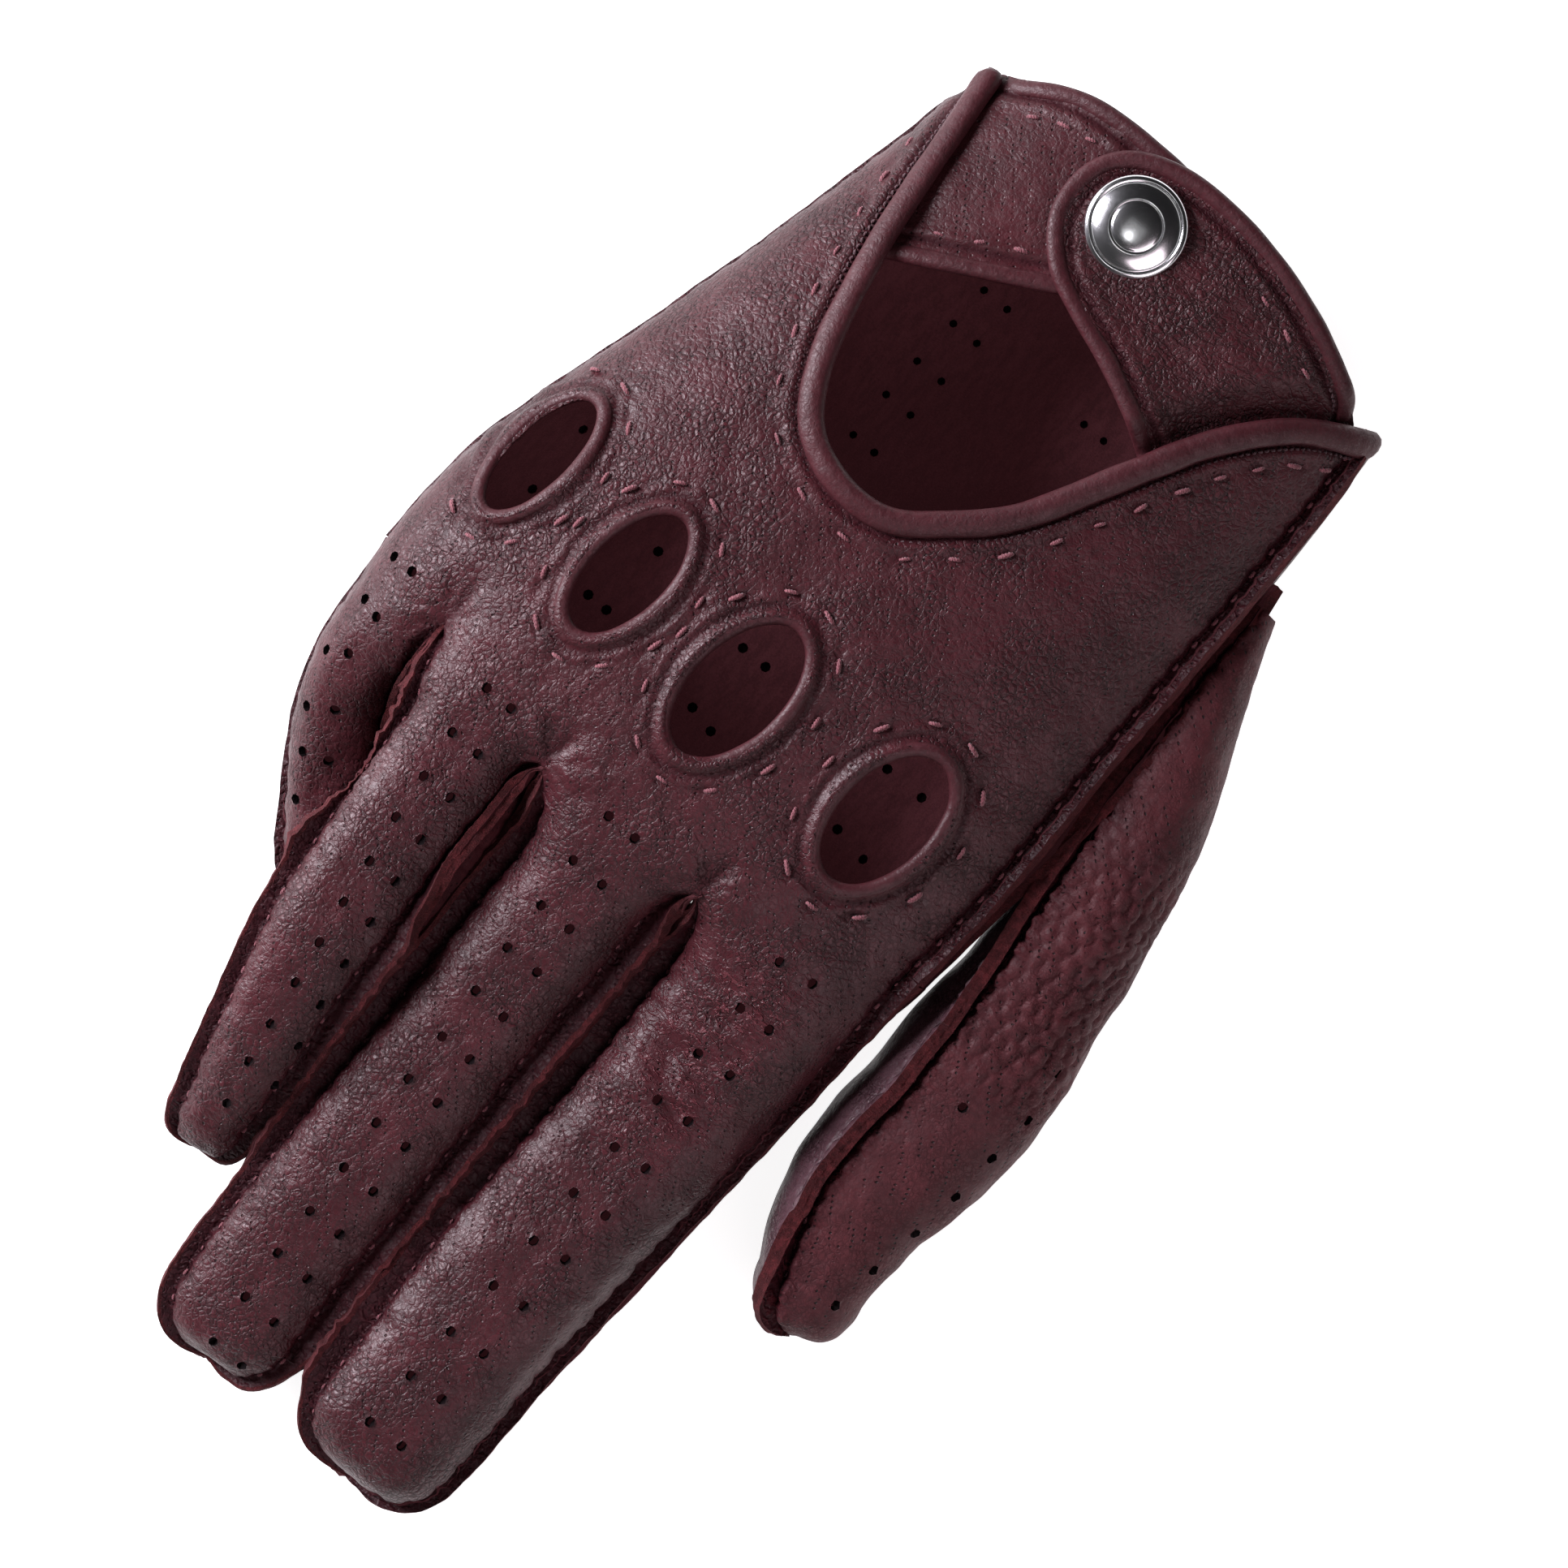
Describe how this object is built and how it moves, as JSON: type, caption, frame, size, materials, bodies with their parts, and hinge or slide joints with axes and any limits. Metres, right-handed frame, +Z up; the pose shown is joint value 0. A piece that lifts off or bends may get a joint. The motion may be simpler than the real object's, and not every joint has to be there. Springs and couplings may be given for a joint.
{
  "type": "driving glove",
  "caption": "Right-hand leather driving glove with knuckle holes, open wrist, vented fingers and a snap strap.",
  "frame": {"origin": "centre of the bounding box in plan, at the surface the palm lies on", "axes": "+Z up through the back of the hand, +Y to the fingertips, +X to the little finger side"},
  "size_m": [0.1309, 0.2278, 0.0406],
  "materials": {
    "grain_leather": "grained, semi-matt",
    "raw_edge": "raw cut edge, matt",
    "suede": "suede flesh side, matt",
    "thread": "twisted thread",
    "chrome": "polished",
    "snap_steel": "nickel plated"
  },
  "bodies": {
    "hand": {"back_hand": "grain_leather", "palm_hand": "grain_leather", "knuckle_binding_index": "grain_leather", "knuckle_binding_middle": "grain_leather", "knuckle_binding_ring": "grain_leather", "knuckle_binding_little": "grain_leather", "knuckle_stitches": "thread", "wrist_binding": "grain_leather", "wrist_stitches": "thread", "palm_hem_binding": "grain_leather", "under_tab": "grain_leather", "tab_binding": "grain_leather", "tab_stitches": "thread", "snap_stud": "snap_steel", "snap_post": "snap_steel", "index_side_flange": "raw_edge", "index_side_stitches": "thread", "little_side_flange": "raw_edge", "little_side_stitches": "thread", "thumb_base_flange": "raw_edge", "index_root": "grain_leather", "middle_root": "grain_leather", "ring_root": "grain_leather", "little_root": "grain_leather", "thumb_root": "grain_leather"},
    "index": {"index_back": "grain_leather", "index_palm": "grain_leather", "index_fourchette": "suede", "index_flange": "raw_edge", "index_stitches": "thread"},
    "middle": {"middle_back": "grain_leather", "middle_palm": "grain_leather", "middle_fourchette_index": "suede", "middle_fourchette_ring": "suede", "middle_flange": "raw_edge"},
    "ring": {"ring_back": "grain_leather", "ring_palm": "grain_leather", "ring_fourchette_middle": "suede", "ring_fourchette_little": "suede", "ring_flange": "raw_edge"},
    "little": {"little_back": "grain_leather", "little_palm": "grain_leather", "little_fourchette": "suede", "little_flange": "raw_edge"},
    "thumb": {"thumb_outer": "grain_leather", "thumb_inner": "grain_leather", "thumb_flange": "raw_edge", "thumb_stitches": "thread"},
    "strap": {"strap_outer": "grain_leather", "strap_lining": "suede", "strap_binding": "grain_leather", "strap_stitches": "thread", "snap_cap": "chrome", "snap_socket": "snap_steel", "snap_spring": "snap_steel"}
  },
  "joints": [
    {"name": "index_lift", "type": "hinge", "parent": "hand", "child": "index", "pos_m": [-0.0205, 0.004, 0.018], "axis": [1, 0, 0], "range_deg": [0, 30], "deforming": ["index_root"]},
    {"name": "middle_lift", "type": "hinge", "parent": "hand", "child": "middle", "pos_m": [0.0096, 0.004, 0.018], "axis": [1, 0, 0], "range_deg": [0, 30], "deforming": ["middle_root"]},
    {"name": "ring_lift", "type": "hinge", "parent": "hand", "child": "ring", "pos_m": [0.036, 0.004, 0.018], "axis": [1, 0, 0], "range_deg": [0, 30], "deforming": ["ring_root"]},
    {"name": "little_lift", "type": "hinge", "parent": "hand", "child": "little", "pos_m": [0.0566, 0.004, 0.018], "axis": [1, 0, 0], "range_deg": [0, 30], "deforming": ["little_root"]},
    {"name": "thumb_swing", "type": "hinge", "parent": "hand", "child": "thumb", "pos_m": [-0.042, -0.056, 0.014], "axis": [0, 0, 1], "range_deg": [0, 25], "deforming": ["thumb_root"]},
    {"name": "strap_open", "type": "hinge", "parent": "hand", "child": "strap", "pos_m": [-0.0222, -0.0924, 0.0352], "axis": [-0.6765, -0.7364, 0], "range_deg": [0, 110]}
  ],
  "couplings": [
    {"joint": "little_lift", "follows": "ring_lift", "ratio": 1}
  ]
}
